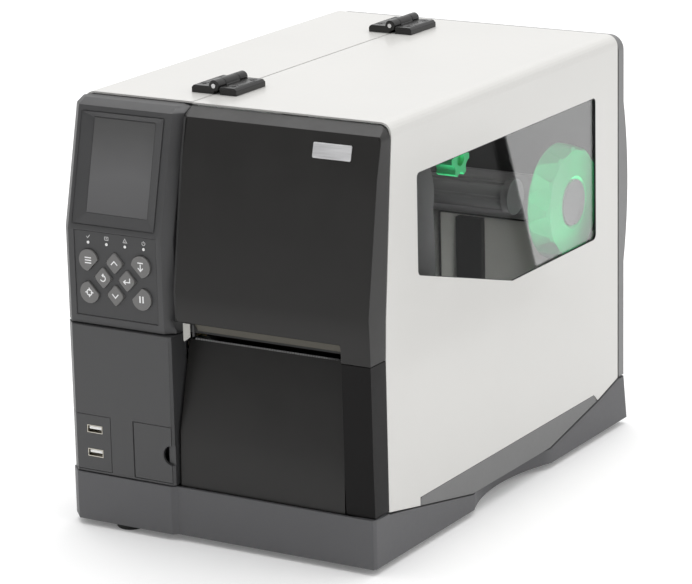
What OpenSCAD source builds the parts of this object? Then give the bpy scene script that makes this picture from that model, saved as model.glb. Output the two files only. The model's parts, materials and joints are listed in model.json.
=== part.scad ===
// Industrial label maker: a four-inch thermal-transfer label printer.
// Millimetres. +Z up, the front faces -Y and the media door is on the +X side.
// The origin is on the floor, under the middle of the machine.

/* [Cabinet] */
// Width over the sheet-metal covers
cabinet_w = 278; // [274:1:282]
// Height of the top sheets above the floor
cabinet_h = 341; // [338:1:344]
// Thickness of the cover sheets
sheet_t = 1.5; // [1:0.1:2]
// Radius of the fold between a top sheet and a side sheet
fold_r = 10; // [6:1:12]
// Rear edge of the cover sheets
sheet_back_y = 195; // [194:0.5:196]
// Plane between the electronics bay and the media bay
seam_x = -37.3; // [-38:0.1:-37]
// Thickness of the moulded plastic covers
wall = 3; // [2.4:0.2:3.4]

/* [Base] */
// Width of the base tray
base_w = 280; // [279:0.5:281]
// Height of the rubber feet
foot_h = 5; // [4:0.5:5]
// Height of the top edge of the base tray
base_top = 44; // [43.5:0.25:44.5]
// Depth of the finger recess below the door
recess_depth = 13; // [8:1:16]

/* [Front] */
// Front plane of the keypad section
keypad_y = -215.5; // [-216:0.25:-215]
// Height at which the control housing starts to lean back
lean_z = 240; // [239:0.5:241]
// Height of the tear bar's edge, where the label leaves
slot_low = 160; // [159.5:0.25:160.5]
// Height at which the door's front face ends above the label slot
slot_high = 178.2; // [177.5:0.1:179]
// Travel of the front-panel buttons
button_travel = 1; // [0.6:0.1:1.2]

/* [Print mechanism] */
// Radius of the rubber platen roller
platen_r = 9; // [8.6:0.1:9.1]
// Radius of the platen shaft
platen_shaft_r = 4; // [3:0.5:5]
// Teeth on the platen pulley
platen_teeth = 24; // [20:2:26]
// Teeth on the motor pulley
motor_teeth = 16; // [14:2:18]
// Radial clearance of a shaft in its bush
running_fit = 0.05; // [0.02:0.01:0.08]

/* [Media] */
// Radius of the roll spindle, for cores of 40 mm
spindle_r = 19.25; // [18:0.25:19.5]
// Radius of the roll retainer's rear rim
retainer_r = 48; // [46:0.5:48.5]
// Number of finger scallops round the retainer
scallops = 12; // [10:1:14]
// Radius of the two ribbon spindles
ribbon_r = 12.3; // [11:0.1:12.6]

/* [Hinges] */
// Height of the hinge axis above the top sheets
hinge_rise = 6.5; // [6.2:0.1:6.6]
// Radius of the hinge knuckles
knuckle_r = 4.5; // [4:0.1:4.5]
// Radius of the hinge pins
pin_r = 1.8; // [1.5:0.1:2]

/* [Hidden] */
$fn = 64;
half_w = cabinet_w / 2;
half_base = base_w / 2;
cover_x = seam_x - 0.7;
door_x = seam_x + 0.8;
arc_steps = 6;
seam = 0.4;
hairline = 0.3;
steel_t = 2;

// Chassis floor
floor_z = base_top + 0.2;
floor_top = floor_z + steel_t;
under_sheet = cabinet_h - sheet_t - 0.2;

// Front panels
panel_top = 164.5;
bezel_low = 165.2;
bezel_left = -half_w + 0.5;
bezel_right = cover_x;
bezel_back = -176.5;
edge_run = 7;
lean_top = 334;
lean_back_y = -193.5;
lean = atan2(lean_back_y - keypad_y, lean_top - lean_z);
lean_len = norm([lean_back_y - keypad_y, lean_top - lean_z]);
panel_y = -218.5;
chute_top_y = -194.5;
cover_lip = [-212, 169.5];
cover_top = cabinet_h - 1.7;
chute_fold = [-212, 88];
chute_low_y = -213.5;
chute_right = 112.3;
tear_x = [-30, 108];
strip_left = 113.6;
strip_seam_z = 164;

// Keypad: rows and columns of button centres
key_mid_x = -88.6;
key_outer = 24.4;
key_inner = 11.2;
key_high_z = 216.8;
key_mid_z = 204;
key_low_z = 191;
key_r = 8.6;
key_cut = 5.6;
diamond_w = 8.5;
diamond_h = 8.9;
led_z = 230.8;
led_x = [-113.3, -96.1, -78.9, -61.6];
key_plate = [-126.4, -50.2, 172, 240];
key_plate_t = 1.6;
key_sink = 0.8;

// Screen, measured along the leaning face from its lower edge
screen_x = [-128, -52];
screen_s = [5, 92];
glass_x = [-118, -61];
glass_s = [14, 88];
glass_sink = 3;
glass_t = 2;

// Lower left panel
usb_x = -112;
usb_z = [61, 80.4];
usb_size = [14.4, 6.4];
usb_plate_right = -97.3;
small_z = [46.5, 92];
hatch_pivot = [-74.4, -217.4];
hatch_right = -40.2;
hatch_t = 2.2;
notch_z = 69;
notch_r = 8;

// Door
door_front = [[-178.5, cover_top], [-194.2, 333.5], [-202, 303.4], [-218.3, 201], [-217.3, slot_high]];
door_front_low = [[-217.3, slot_high], [-216.8, strip_seam_z], [-215.4, 76], [-214, base_top + 0.8]];
door_join = [[-178.5, cover_top], [-180, 333], [-183.3, 299.4], [-192.7, 195], [-194.2, strip_seam_z]];
door_join_low = [[-194.2, strip_seam_z], [-193.4, base_top + 0.8]];
window_pts = [[-143.3, 296], [154, 296], [154.5, 176], [7, 176], [-143.5, 217]];
window_round = [4, 4, 5, 6, 5];
grip_y = [-145.3, 156.2];
grip_top = 41;

// Media bay
spindle_yz = [144, 208];
spindle_end = 123;
retainer_t = 19;
retainer_front_r = retainer_r - 1.8;
supply_yz = [50, 233];
takeup_yz = [-40, 283];
platen_yz = [-178, slot_low - 0.5 - platen_r];
motor_yz = [-110, platen_yz.y];
head_pivot_yz = [-120, 193];
lever_yz = [-128, 226];
guide_yz = [-84, 176];
mech_x = 109;
mech_t = 3;
wall_x = -36;
wall_left = wall_x - steel_t;
pulley_x = -50;
pulley_w = 9;
tooth_pitch_r = 0.5;
platen_pulley_r = platen_teeth * tooth_pitch_r;
motor_pulley_r = motor_teeth * tooth_pitch_r;
belt_gap = 0.3;
belt_t = 1.5;
platen_span = [-28, 106];
head_z = slot_low - 0.2;

// Rear
rear_front_y = 197;
rear_y = 206.4;
hump_y = 220;
hump_z = 212;
hump_half = 93;
hump_sag = hump_y - rear_y;
hump_r = (hump_half * hump_half + hump_sag * hump_sag) / (2 * hump_sag);
hump_x = [-25, 136];
fanfold_x = [-12, 120];
fanfold_z = [193, 207];

// Hinges
axis_z = cabinet_h + hinge_rise;
hinge_y = [-126, 144];
hinge_len = 42;
leaf_t = 6;
leaf_reach = 20.5;
leaf_start = 5;
end_knuckle = 11;
hinge_screw_x = 13.5;
hinge_screw_y = 13;
screw_r = 1.9;
screw_head_r = 3.7;

// ---- Helpers ----

function unit(v) = v / norm(v);

// Points of the arc that rounds the corner b between a and c
function corner_arc(a, b, c, r) =
  let (u = unit(a - b), v = unit(c - b))
  let (half = acos(u * v) / 2)
  let (centre = b + unit(u + v) * r / sin(half))
  let (p = b + u * r / tan(half) - centre, q = b + v * r / tan(half) - centre)
  let (start = atan2(p.y, p.x), turn = atan2(q.y, q.x) - start)
  let (sweep = turn > 180 ? turn - 360 : turn < -180 ? turn + 360 : turn)
  [for (i = [0:arc_steps]) let (a = start + sweep * i / arc_steps) centre + r * [cos(a), sin(a)]];

// A closed outline with its corners rounded, radius zero leaving a corner sharp
function rounded(pts, radii) =
  let (n = len(pts))
  [for (i = [0:n - 1]) each radii[i] == 0 ? [pts[i]]
    : corner_arc(pts[(i + n - 1) % n], pts[i], pts[(i + 1) % n], radii[i])];

function box_pts(x0, x1, y0, y1) = [[x0, y0], [x1, y0], [x1, y1], [x0, y1]];

function reversed(pts) = [for (i = [len(pts) - 1:-1:0]) pts[i]];

// Extrude an outline drawn in Y and Z along X
module along_x(x0, x1) {
  translate([x0, 0, 0]) rotate([90, 0, 90]) linear_extrude(x1 - x0) children();
}

// Extrude an outline drawn in X and Z along Y
module along_y(y0, y1) {
  translate([0, y1, 0]) rotate([90, 0, 0]) linear_extrude(y1 - y0) children();
}

module block(x0, x1, y0, y1, z0, z1) {
  translate([x0, y0, z0]) cube([x1 - x0, y1 - y0, z1 - z0]);
}

module rod_x(yz, x0, x1, r) {
  translate([x0, yz.x, yz.y]) rotate([0, 90, 0]) cylinder(h = x1 - x0, r = r);
}

module rod_y(xz, y0, y1, r) {
  translate([xz.x, y1, xz.y]) rotate([90, 0, 0]) cylinder(h = y1 - y0, r = r);
}

// The frame of the leaning screen face: local Z up the face, local Y into the housing
module on_screen_face() {
  translate([0, keypad_y, lean_z]) rotate([-lean, 0, 0]) children();
}

// ---- Base ----

module base_side_profile() {
  polygon([[-222, foot_h], [-222, base_top], [205, base_top], [211, foot_h]]);
}

module base_plan(inset) {
  right_y = -217 + inset;
  left_y = -220 + inset;
  polygon([
    [-half_base + inset, 212 - inset], [-half_base + inset, -209 + inset / 2],
    [-129.5 + inset / 2, left_y], [-41, left_y], [-37, right_y],
    [138.5 - inset, right_y], [half_base - inset, right_y + 3], [half_base - inset, 212 - inset]
  ]);
}

// Everything above the sloping top edge of the base on the door side
module door_side_cut() {
  along_x(126, half_base + 1) polygon([
    [-196.6, base_top + 1], [-196.6, base_top - 0.3], [-192.2, 42], [-146.9, 33.9], [-62, 17.8],
    [70, 17.4], [156.4, 33.8], [196, base_top - 0.2], [196, base_top + 1]
  ]);
}

module finger_recess(depth) {
  half_chord = 66;
  r = (half_chord * half_chord + depth * depth) / (2 * depth);
  translate([half_base + r - depth, 4, foot_h - 1]) cylinder(h = 14, r = r, $fn = 128);
}

module base_tray() {
  color([0.31, 0.31, 0.32]) difference() {
    intersection() {
      translate([0, 0, foot_h]) linear_extrude(base_top - foot_h) base_plan(0);
      along_x(-half_base, half_base) base_side_profile();
    }
    intersection() {
      translate([0, 0, foot_h + wall]) linear_extrude(base_top) base_plan(wall);
      block(-half_base, 122, -215, 200, 0, base_top + 1);
    }
    door_side_cut();
    intersection() {
      finger_recess(recess_depth);
      block(0, half_base + 1, -62, 70, 0, 30);
    }
    for (x = [-90:20:70], y = [-60, 60]) block(x, x + 10, y - 25, y + 25, 0, foot_h + wall + 1);
    for (p = foot_places) translate([p.x, p.y, 0]) cylinder(h = 20, r = 2.5);
  }
}

foot_places = [[-90, -205], [122, -189], [119, 138], [-119, 138]];
foot_r = 11.5;

module rubber_feet() {
  color([0.05, 0.05, 0.05]) for (p = foot_places) translate([p.x, p.y, 0]) {
    cylinder(h = 1, r1 = foot_r - 1, r2 = foot_r);
    translate([0, 0, 1]) cylinder(h = foot_h - 1.001, r = foot_r);
  }
}

// ---- Chassis and covers ----

// Clearance holes for the hinge screws on the side given by s
module hinge_screw_holes(s) {
  for (y = hinge_y, t = [-1, 1])
    translate([seam_x + s * hinge_screw_x, y + t * hinge_screw_y, cabinet_h - 8])
      cylinder(h = 10, r = screw_r + 0.3);
}

module chassis_frame() {
  color([0.72, 0.73, 0.73]) difference() {
    union() {
      block(-half_w + 3.5, 121, -176, rear_front_y, floor_z, floor_top);
      block(wall_left, 121, -190, -170, floor_z, floor_top);
      block(wall_left, wall_x, -172, rear_front_y, floor_z, under_sheet);
      block(-64, wall_x, -172, sheet_back_y, under_sheet - steel_t, under_sheet);
      along_x(wall_left, wall_x) polygon([[-190, floor_z], [-172, floor_z], [-172, 190], [-190, 150]]);
    }
    for (yz = [supply_yz, takeup_yz]) rod_x(yz, -45, -30, 8);
    rod_x(platen_yz, -45, -30, 8);
    rod_x(motor_yz, -45, -30, 12);
    hinge_screw_holes(-1);
    for (x = [-120:14:-64]) block(x, x + 7, -120, -40, floor_z - 1, floor_top + 1);
  }
}

// An angle of sheet: a side panel and a top panel with a rounded fold, drawn in X and Z
module sheet_angle(side, top_inner, low) {
  outer = [[side, low], [side, cabinet_h], [top_inner, cabinet_h]];
  s = side > 0 ? -1 : 1;
  inner_side = side + s * sheet_t;
  inner = [[top_inner, cabinet_h - sheet_t], [inner_side, cabinet_h - sheet_t], [inner_side, low]];
  polygon(rounded(concat(outer, inner), [0, fold_r, 0, 0, fold_r - sheet_t, 0]));
}

module vent_slots(x0, x1, ys, zs, size) {
  for (y = ys, z = zs) block(x0, x1, y, y + size.x, z, z + size.y);
}

module left_cover() {
  color([0.92, 0.92, 0.9]) difference() {
    along_y(bezel_back + seam, sheet_back_y) sheet_angle(-half_w, cover_x, base_top + 0.7);
    vent_slots(-half_w - 1, -half_w + 4, [60:14:150], [80:12:140], [9, 4]);
    hinge_screw_holes(-1);
  }
}

module rear_outline(inset) {
  polygon(rounded(
    box_pts(-half_w + inset, half_w - inset, base_top + 0.8 + inset, cabinet_h - 2 - inset),
    [0, 0, 12 - inset / 2, 12 - inset / 2]));
}

// The curved bulge round the fan-fold slot, or the space inside it
module hump(inset) {
  intersection() {
    rod_x([hump_y - hump_r, hump_z], hump_x[0] + inset - 1, hump_x[1] - inset + 1, hump_r - inset,
      $fn = 128);
    block(hump_x[0] + inset, hump_x[1] - inset, rear_y - (inset > 0 ? wall + 1 : wall / 2), 240,
      hump_z - hump_half - 12, hump_z + hump_half + 12);
  }
}

inlet_box = [-118, -64, 54, 84];
port_boxes = [[-122, -106, 112, 126], [-98, -85, 112, 124], [-78, -46, 112, 126]];

module rear_cover() {
  color([0.55, 0.55, 0.55]) difference() {
    union() {
      along_y(rear_front_y, rear_y) rear_outline(0);
      hump(0);
    }
    along_y(rear_front_y - 1, rear_y - wall) rear_outline(wall);
    hump(wall);
    block(fanfold_x[0], fanfold_x[1], 190, 240, fanfold_z[0], fanfold_z[1]);
    block(inlet_box[0], inlet_box[1], 190, 240, inlet_box[2], inlet_box[3]);
    for (b = port_boxes) block(b[0] - 0.3, b[1] + 0.3, 190, 240, b[2] - 0.3, b[3] + 0.3);
    for (z = [250:9:304]) block(-122, -46, 190, 240, z, z + 4);
  }
}

module c14_outline(grow) {
  w = 12 + grow;
  low = -8 - grow;
  polygon(rounded([
    [-w, low], [w, low], [w, 4 + grow], [w - 5, 8.5 + grow], [-w + 5, 8.5 + grow], [-w, 4 + grow]
  ], [2, 2, 1, 1, 1, 1]));
}

module power_inlet() {
  cx = inlet_box[0] + 18;
  cz = (inlet_box[2] + inlet_box[3]) / 2;
  color([0.1, 0.1, 0.1]) {
    difference() {
      union() {
        block(inlet_box[0] + 0.3, inlet_box[1] - 0.3, 186, rear_y, inlet_box[2] + 0.3, inlet_box[3] - 0.3);
        block(inlet_box[0] - 3, inlet_box[1] + 3, rear_y, rear_y + 2, inlet_box[2] - 3, inlet_box[3] + 3);
      }
      translate([cx, 0, cz]) along_y(191, 215) c14_outline(0);
      block(rocker_x - rocker_w / 2 - 0.4, rocker_x + rocker_w / 2 + 0.4, 192, 215,
        rocker_z - rocker_h / 2 - 0.4, rocker_z + rocker_h / 2 + 0.4);
      rod_x(rocker_pivot, rocker_x - rocker_pin_span - 0.3, rocker_x + rocker_pin_span + 0.3,
        rocker_pin_r + running_fit);
    }
  }
  for (p = [[0, 2.6], [-6.8, -1.6], [6.8, -1.6]])
    block(cx + p.x - 1.1, cx + p.x + 1.1, 188, 205, cz + p.y - 2.1, cz + p.y + 2.1);
}

rocker_x = -75;
rocker_z = 69;
rocker_w = 12;
rocker_h = 19;
rocker_y = 205;
rocker_pivot = [rocker_y - 4, rocker_z];
rocker_pin_r = 1.4;
rocker_pin_span = rocker_w / 2 + 2;

// The rocker turns on two pins that run in the inlet's side walls
module power_rocker() {
  color([0.08, 0.08, 0.08]) {
    along_x(rocker_x - rocker_w / 2, rocker_x + rocker_w / 2) polygon([
      [rocker_y - 6, rocker_z - 7], [rocker_y + 2.2, rocker_z - 8.6], [rocker_y + 2.8, rocker_z],
      [rocker_y + 5.4, rocker_z + 7.4], [rocker_y - 6, rocker_z + 6]
    ]);
    rod_x(rocker_pivot, rocker_x - rocker_pin_span, rocker_x + rocker_pin_span, rocker_pin_r);
  }
}

module interface_ports() {
  color([0.75, 0.75, 0.75]) for (b = port_boxes) difference() {
    block(b[0], b[1], 188, rear_y + 1, b[2], b[3]);
    block(b[0] + 1.2, b[1] - 1.2, 192, rear_y + 2, b[2] + 1.2, b[3] - 1.2);
  }
  color([0.1, 0.1, 0.1]) for (b = port_boxes)
    block(b[0] + 4, b[1] - 4, 192, rear_y - 2, b[2] + 4, b[3] - 4);
}

module circuit_board() {
  bx = -58;
  color([0.05, 0.3, 0.15]) {
    block(bx - 1.6, bx, 0, 186, 104, 240);
    block(bx - 14, bx - 1.6, 40, 62, 190, 214);
    block(bx - 8, bx - 1.6, 90, 118, 180, 208);
    for (y = [20:24:140]) translate([bx - 1.6, y, 225]) rotate([0, -90, 0]) cylinder(h = 14, r = 5);
    for (y = [12, 174], z = [130, 232]) rod_x([y, z], bx, wall_left, 3);
  }
}

module power_supply() {
  color([0.7, 0.7, 0.7]) difference() {
    block(-132, -66, 10, 170, floor_top, 92);
    for (y = [30:10:150], x = [-122:10:-76]) translate([x, y, 90]) cylinder(h = 4, r = 3);
  }
}

// ---- Drive ----

module stepper_motor() {
  face = 42;
  color([0.15, 0.15, 0.16]) {
    difference() {
      block(-104, -60, motor_yz.x - face / 2, motor_yz.x + face / 2, motor_yz.y - face / 2,
        motor_yz.y + face / 2);
      for (y = [-1, 1], z = [-1, 1])
        translate([-104, motor_yz.x + y * face / 2, motor_yz.y + z * face / 2]) rotate([45, 0, 0])
          translate([12, -3, -3]) cube([20, 6, 6]);
    }
    rod_x(motor_yz, -60, -58, 11);
    for (y = [-1, 1], z = [-1, 1]) rod_x(motor_yz + [y * 15.5, z * 15.5], -60, wall_left, 3);
  }
}

module pulley(yz, r, teeth, bore_r) {
  difference() {
    rod_x(yz, pulley_x, pulley_x + pulley_w, r);
    for (i = [0:teeth - 1]) {
      a = i * 360 / teeth;
      rod_x(yz + r * [cos(a), sin(a)], pulley_x - 1, pulley_x + pulley_w + 1, 0.8, $fn = 8);
    }
    rod_x(yz, pulley_x - 1, pulley_x + pulley_w + 1, bore_r);
  }
}

module motor_pulley() {
  color([0.7, 0.7, 0.72]) {
    pulley(motor_yz, motor_pulley_r, motor_teeth, 2);
    rod_x(motor_yz, -57.8, pulley_x + pulley_w, 2.5);
  }
}

module platen_pulley() {
  color([0.7, 0.7, 0.72]) pulley(platen_yz, platen_pulley_r, platen_teeth, platen_shaft_r + 0.02);
}

function arc(centre, r, a0, a1, n) =
  [for (i = [0:n]) centre + r * [cos(a0 + (a1 - a0) * i / n), sin(a0 + (a1 - a0) * i / n)]];

// The loop that runs round both pulleys at a distance from their rims
function belt_loop(gap) =
  let (rp = platen_pulley_r + gap, rm = motor_pulley_r + gap)
  let (tilt = asin((rp - rm) / norm(motor_yz - platen_yz)))
  concat(arc(motor_yz, rm, tilt - 90, 90 - tilt, 20), arc(platen_yz, rp, 90 - tilt, 270 + tilt, 28));

module drive_belt() {
  color([0.06, 0.06, 0.06]) along_x(pulley_x + 1, pulley_x + pulley_w - 1) difference() {
    polygon(belt_loop(belt_gap + belt_t));
    polygon(belt_loop(belt_gap));
  }
}

module bush(yz, x0, x1, outer_r, bore_r) {
  difference() {
    rod_x(yz, x0, x1, outer_r);
    rod_x(yz, x0 - 1, x1 + 1, bore_r);
  }
}

module shaft_bushes() {
  color([0.75, 0.6, 0.3]) {
    for (yz = [platen_yz, supply_yz, takeup_yz])
      bush(yz, wall_left, wall_x + 3, 7.95, platen_shaft_r + running_fit);
    bush(platen_yz, mech_x, mech_x + mech_t + 2, 7.95, platen_shaft_r + running_fit);
  }
}

module platen_shaft() {
  color([0.75, 0.75, 0.77]) rod_x(platen_yz, pulley_x - 2, mech_x + mech_t + 3, platen_shaft_r);
}

module platen_roller() {
  color([0.1, 0.1, 0.1]) bush(platen_yz, platen_span[0], platen_span[1], platen_r, platen_shaft_r);
}

module mech_plate() {
  lobe = [-116, 262];
  lobe_r = 44;
  color([0.2, 0.2, 0.21]) difference() {
    along_x(mech_x, mech_x + mech_t) {
      polygon(rounded([[-188.2, floor_top], [-96, floor_top], [-96, 146], [-70, 170], [-74, 262], [-152, 262],
        [-170, 215], [-188.2, 200]], [0, 6, 12, 8, 0, 0, 20, 8]));
      translate(lobe) circle(r = lobe_r);
    }
    rod_x(platen_yz, 100, 120, 8);
    rod_x(head_pivot_yz, 100, 120, 4);
    rod_x(lever_yz, 100, 120, 4 + running_fit);
    rod_x(guide_yz, 100, 120, 4 + running_fit);
    along_x(100, 120)
      polygon(rounded([[-176, 60], [-112, 60], [-112, 130], [-150, 130], [-176, 120]], [6, 6, 6, 6, 6]));
  }
}

module head_pivot_shaft() {
  color([0.75, 0.75, 0.77]) rod_x(head_pivot_yz, wall_x, mech_x + mech_t + 2, 4);
}

module head_bracket() {
  low = head_z + 13.6;
  top = low + 11;
  pivot = head_pivot_yz;
  arm = [[-188, low], [-150, low], pivot + [-8, -9], pivot + [7, -6], pivot + [7, 6], pivot + [-8, 7],
    [-160, top + 4], [-188, top]];
  color([0.35, 0.35, 0.36]) difference() {
    union() {
      for (x = [-26, 98]) along_x(x, x + 5) polygon(arm);
      block(-26, 103, -188, -152, top - 2, top);
      block(-26, 103, -188, -186, low, top);
    }
    rod_x(head_pivot_yz, -40, 110, 4 + running_fit);
  }
}

module thermal_printhead() {
  color([0.6, 0.6, 0.58]) along_x(-20, 97) polygon([
    [-185, head_z + 2.1], [-181, head_z], [-175, head_z], [-156, head_z + 4.6], [-156, head_z + 10.6],
    [-185, head_z + 10.6]
  ]);
}

spring_x = [-5, 82];
spring_y = -170;
spring_r = 4;
spring_wire = 0.7;

// One coil spring standing on the printhead, its wire swept along a helix
module coil_spring(low, high) {
  turns = 5;
  per_turn = 10;
  sides = 6;
  rings = turns * per_turn;
  pts = [for (i = [0:rings], k = [0:sides - 1])
    let (a = 360 * i / per_turn, b = 360 * k / sides)
    [(spring_r + spring_wire * cos(b)) * cos(a), (spring_r + spring_wire * cos(b)) * sin(a),
      low + spring_wire + (high - low - 2 * spring_wire) * i / rings + spring_wire * sin(b)]];
  sides_faces = [for (i = [0:rings - 1], k = [0:sides - 1])
    [i * sides + k, i * sides + (k + 1) % sides, (i + 1) * sides + (k + 1) % sides, (i + 1) * sides + k]];
  start_face = [for (k = [0:sides - 1]) sides - 1 - k];
  end_face = [for (k = [0:sides - 1]) rings * sides + k];
  polyhedron(points = pts, faces = concat(sides_faces, [start_face], [end_face]), convexity = 8);
}

module head_springs() {
  color([0.7, 0.7, 0.72]) for (x = spring_x)
    translate([x, spring_y, 0]) coil_spring(head_z + 10.7, head_z + 22.5);
}

module head_lever() {
  color([0.16, 0.16, 0.17]) {
    rod_x(lever_yz, -30, mech_x + mech_t + 4, 4);
    for (x = [-10, 80]) along_x(x, x + 10) {
      translate(lever_yz) circle(r = 6.5);
      translate(lever_yz + [2, 3]) circle(r = 6);
    }
    along_x(mech_x + mech_t + 4, mech_x + mech_t + 10) {
      translate(lever_yz) circle(r = 9);
      polygon(rounded([
        lever_yz + [-8, -6], lever_yz + [8, -6], lever_yz + [5, -46], lever_yz + [-5, -46]
      ], [0, 0, 4, 4]));
    }
  }
}

module guide_roller() {
  color([0.3, 0.3, 0.31]) {
    rod_x(guide_yz, -30, 104, 8);
    rod_x(guide_yz, -34, mech_x + mech_t + 2, 4);
  }
}

// ---- Media and ribbon ----

module media_spindle() {
  color([0.62, 0.62, 0.63]) difference() {
    union() {
      rod_x(spindle_yz, wall_x, wall_x + 4, 34);
      rod_x(spindle_yz, wall_x, spindle_end, spindle_r);
    }
    for (s = [-1, 1]) {
      z = spindle_yz.y + s * spindle_r;
      block(wall_x + 6, spindle_end + 1, spindle_yz.x - 2, spindle_yz.x + 2, z - 1.5, z + 1.5);
    }
  }
}

// A tapered disc; its finger scallops fade out towards the rear rim
module media_retainer() {
  x0 = spindle_end - retainer_t;
  scallop_r = 40;
  scallop_tilt = 14.5;
  bore = spindle_r + 0.3;
  color([0.3, 0.8, 0.5]) {
    difference() {
      translate([x0, spindle_yz.x, spindle_yz.y]) rotate([0, 90, 0]) rotate_extrude($fn = 96) polygon([
        [bore, 0], [retainer_r - 1, 0], [retainer_r, 1], [retainer_r, 3], [retainer_front_r, retainer_t - 2],
        [retainer_front_r - 2, retainer_t], [bore + 2.5, retainer_t], [bore, retainer_t - 2.5]
      ]);
      for (i = [0:scallops - 1])
        translate([x0 + 1.5, spindle_yz.x, spindle_yz.y]) rotate([(i + 0.5) * 360 / scallops, 0, 0])
          translate([0, retainer_r + scallop_r / cos(scallop_tilt), 0]) rotate([0, 90, -scallop_tilt])
            translate([0, 0, -10]) cylinder(h = 40, r = scallop_r, $fn = 128);
    }
    for (s = [-1, 1]) {
      z = spindle_yz.y + s * (spindle_r + 0.1);
      block(x0, spindle_end - 3, spindle_yz.x - 1.6, spindle_yz.x + 1.6, z - 1, z + 1);
    }
  }
}

module ribbon_spindle(yz, x_end) {
  rod_x(yz, wall_left - 3, wall_x + 5, platen_shaft_r);
  rod_x(yz, wall_x + 3.5, wall_x + 6.5, 24);
  difference() {
    rod_x(yz, wall_x + 4, x_end, ribbon_r);
    for (i = [0:5]) {
      a = i * 60;
      rod_x(yz + (ribbon_r + 1.2) * [cos(a), sin(a)], wall_x + 7, x_end + 1, 2.2, $fn = 24);
    }
  }
}

module ribbon_supply_spindle() {
  color([0.14, 0.14, 0.15]) {
    ribbon_spindle(supply_yz, 112);
    rod_x(supply_yz, 112, 118, 14.5);
  }
}

module ribbon_takeup_spindle() {
  color([0.14, 0.14, 0.15]) {
    ribbon_spindle(takeup_yz, 101);
    rod_x(takeup_yz, 100, 112, 7);
  }
}

module ribbon_takeup_knob() {
  knob_r = 14;
  wings = 6;
  color([0.1, 0.65, 0.35]) difference() {
    rod_x(takeup_yz, 101.2, 118, knob_r);
    for (i = [0:wings - 1])
      rod_x(takeup_yz + (knob_r + 2.5) * [cos(i * 60 + 30), sin(i * 60 + 30)], 100, 119, 6, $fn = 32);
    rod_x(takeup_yz, 100, 112.3, 7.05);
    rod_x(takeup_yz, 114, 120, 5.5);
  }
}

// ---- Front panels ----

// The housing's side outline, front edge first, moved back by run
module bezel_side(run, low, high) {
  polygon([[bezel_back, low], [keypad_y + run, low], [keypad_y + run, lean_z], [lean_back_y + run, lean_top],
    [-186 + run, high - 0.8], [bezel_back, high]]);
}

module bezel_form(inset) {
  high = cover_top - inset;
  hull() {
    along_x(bezel_left + edge_run + inset / 2, bezel_right - edge_run - inset / 2)
      bezel_side(inset, bezel_low - (inset > 0 ? 1 : 0), high);
    along_x(bezel_left + inset, bezel_right - inset)
      bezel_side(edge_run + inset, bezel_low - (inset > 0 ? 1 : 0), high - 1.5);
  }
}

module screen_pocket() {
  on_screen_face() hull() {
    block(screen_x[0], screen_x[1], -1, 0.01, screen_s[0], screen_s[1]);
    block(glass_x[0], glass_x[1], -1, glass_sink, glass_s[0], glass_s[1]);
  }
}

module control_bezel() {
  color([0.29, 0.29, 0.3]) difference() {
    bezel_form(0);
    difference() {
      bezel_form(wall);
      on_screen_face() block(screen_x[0], screen_x[1], 0, 6, screen_s[0] - 1, screen_s[1] + 1);
    }
    screen_pocket();
    on_screen_face() block(glass_x[0], glass_x[1], -1, glass_sink + glass_t, glass_s[0], glass_s[1]);
    block(key_plate[0], key_plate[1], keypad_y - 1, keypad_y + key_sink + key_plate_t, key_plate[2],
      key_plate[3]);
    block(key_plate[0] + 3, key_plate[1] - 3, keypad_y - 1, keypad_y + 20, key_plate[2] + 3,
      key_plate[3] - 3);
  }
}

module display_glass() {
  color([0.3, 0.31, 0.32]) on_screen_face()
    block(glass_x[0] + 0.1, glass_x[1] - 0.1, glass_sink, glass_sink + glass_t - 0.05, glass_s[0] + 0.1,
      glass_s[1] - 0.1);
}

function diamond(grow) = rounded([
  [diamond_w + grow, 0], [0, diamond_h + grow], [-diamond_w - grow, 0], [0, -diamond_h - grow]
], [1.6, 1.6, 1.6, 1.6]);

// A round key with one corner cut off, facing the arrow cluster
module round_key_outline(sx, sz, grow) {
  difference() {
    circle(r = key_r + grow);
    rotate(atan2(sz, sx)) translate([key_cut + grow, -20]) square([20, 40]);
  }
}

diamond_keys = [
  [key_mid_x, key_high_z], [key_mid_x, key_low_z],
  [key_mid_x - key_inner, key_mid_z], [key_mid_x + key_inner, key_mid_z]
];
round_keys = [[-1, 1], [1, 1], [-1, -1], [1, -1]];

function round_key_at(s) = [key_mid_x + s.x * key_outer, s.y > 0 ? key_high_z : key_low_z];

module keypad_plate() {
  y0 = keypad_y + key_sink;
  color([0.24, 0.24, 0.25]) difference() {
    block(key_plate[0] + hairline, key_plate[1] - hairline, y0, y0 + key_plate_t - 0.05,
      key_plate[2] + hairline, key_plate[3] - hairline);
    for (k = diamond_keys) translate([k.x, 0, k.y]) along_y(y0 - 1, y0 + 4) polygon(diamond(0.35));
    for (s = round_keys) {
      k = round_key_at(s);
      translate([k.x, 0, k.y]) along_y(y0 - 1, y0 + 4) round_key_outline(-s.x, -s.y, 0.35);
    }
    for (x = led_x) rod_y([x, led_z], y0 - 1, y0 + 4, 1.2);
  }
}

module indicator_leds() {
  color([0.95, 0.95, 0.95]) for (x = led_x) rod_y([x, led_z], keypad_y + 0.5, keypad_y + 5, 1.15);
}

key_front = keypad_y - 0.9;
key_flange_y = keypad_y + key_sink + key_plate_t + 0.1;

module diamond_key(k) {
  color([0.45, 0.45, 0.46]) translate([k.x, 0, k.y]) {
    along_y(key_front, keypad_y + 7) polygon(diamond(0));
    along_y(key_flange_y, key_flange_y + 1) polygon(diamond(1.1));
  }
}

module round_key(s) {
  k = round_key_at(s);
  color([0.45, 0.45, 0.46]) translate([k.x, 0, k.y]) {
    along_y(key_front, keypad_y + 7) round_key_outline(-s.x, -s.y, 0);
    along_y(key_flange_y, key_flange_y + 1) round_key_outline(-s.x, -s.y, 1.1);
  }
}

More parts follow.
